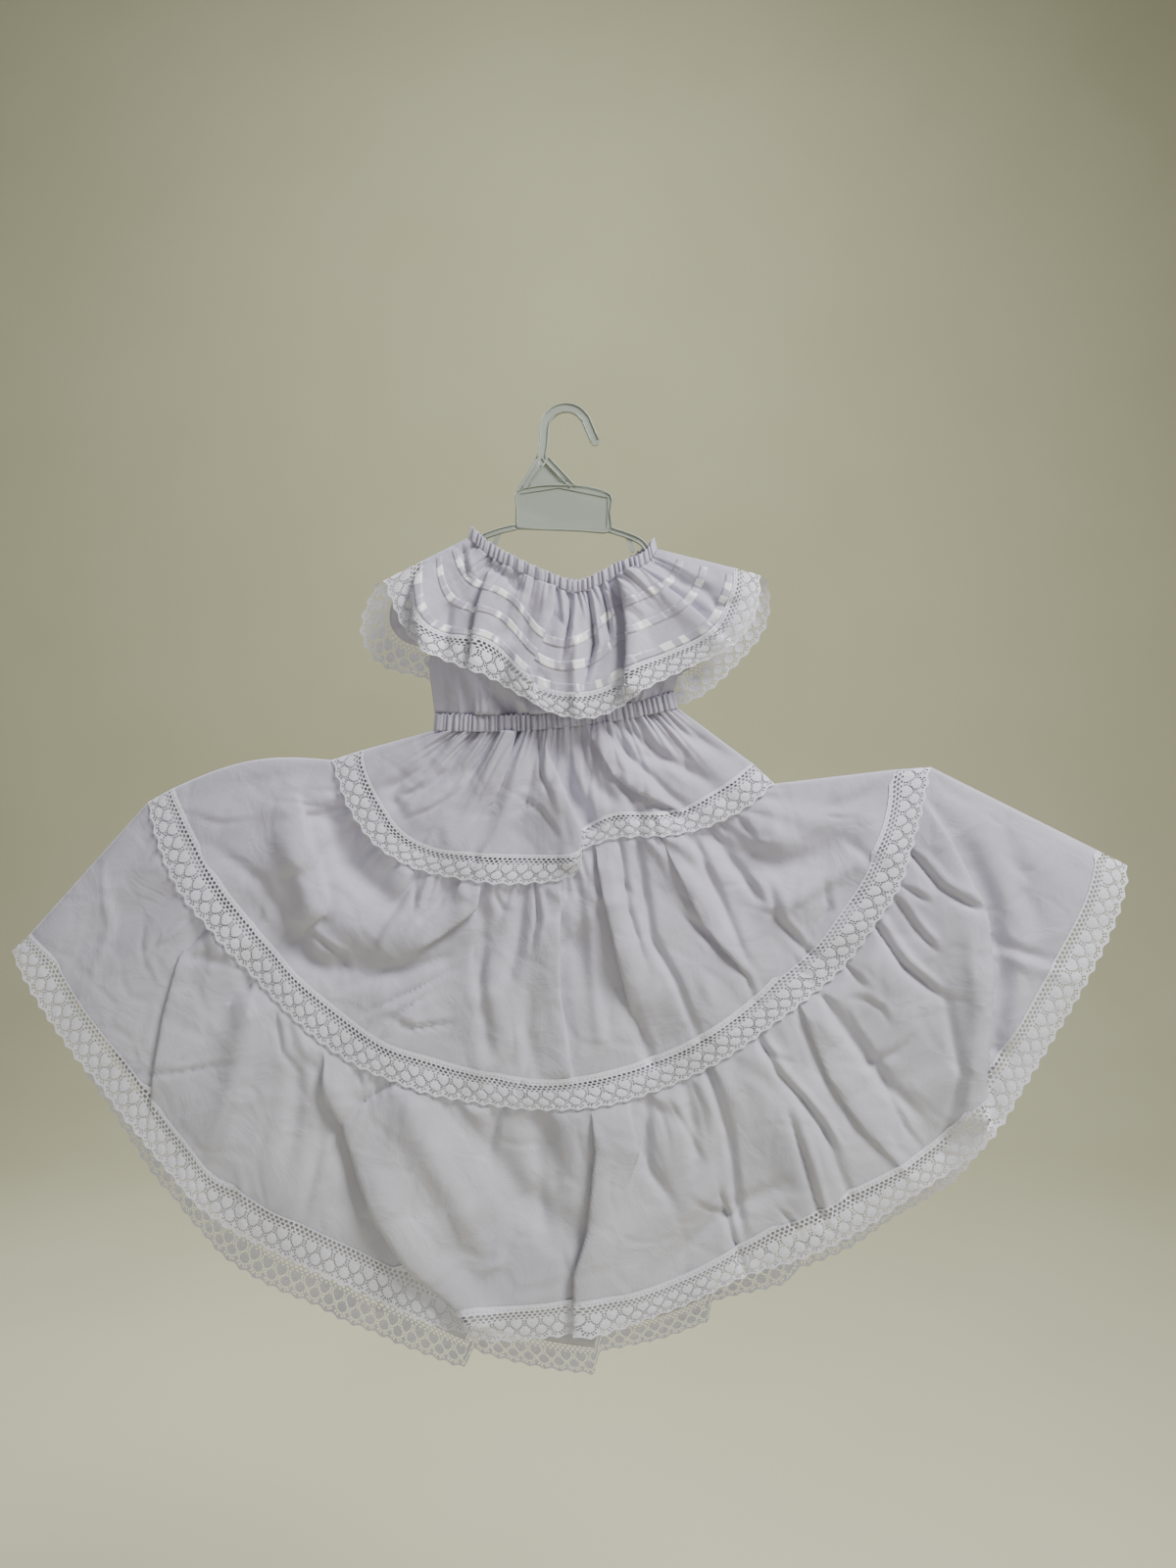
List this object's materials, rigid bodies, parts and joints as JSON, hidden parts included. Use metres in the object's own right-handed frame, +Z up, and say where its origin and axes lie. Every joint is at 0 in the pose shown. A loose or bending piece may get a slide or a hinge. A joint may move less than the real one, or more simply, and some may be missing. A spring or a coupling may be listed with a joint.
{
  "type": "pollera dress on a hanger",
  "caption": "Small child's off-shoulder folk dress with a ruffled collar, ribbons, lace and a wide tiered skirt, hung on a moulded hanger.",
  "frame": {"origin": "the underside of the hook's arch, where the hanger rests on a rail, hook or nail", "axes": "+Z up, the front of the dress faces -Y, +X to the right as seen from the front"},
  "size_m": [0.7972, 0.0466, 0.6774],
  "materials": {
    "cotton": "plain-woven white cotton",
    "lace": "white polyester lace edging",
    "satin": "white satin ribbon",
    "plastic": "pale translucent moulded plastic"
  },
  "bodies": {
    "root": {"hanger": "plastic", "neck_casing_front": "cotton", "collar_ruffle_front": "cotton", "collar_lace_front": "lace", "ribbon_1_front": "satin", "ribbon_2_front": "satin", "ribbon_3_front": "satin", "bodice_front": "cotton", "waist_casing_front": "cotton", "tier_1_front": "cotton", "tier_2_front": "cotton", "tier_3_front": "cotton", "lace_1_front": "lace", "lace_2_front": "lace", "hem_lace_front": "lace", "neck_casing_back": "cotton", "collar_ruffle_back": "cotton", "collar_lace_back": "lace", "ribbon_1_back": "satin", "ribbon_2_back": "satin", "ribbon_3_back": "satin", "bodice_back": "cotton", "waist_casing_back": "cotton", "tier_1_back": "cotton", "tier_2_back": "cotton", "tier_3_back": "cotton", "lace_1_back": "lace", "lace_2_back": "lace", "hem_lace_back": "lace"}
  },
  "joints": []
}
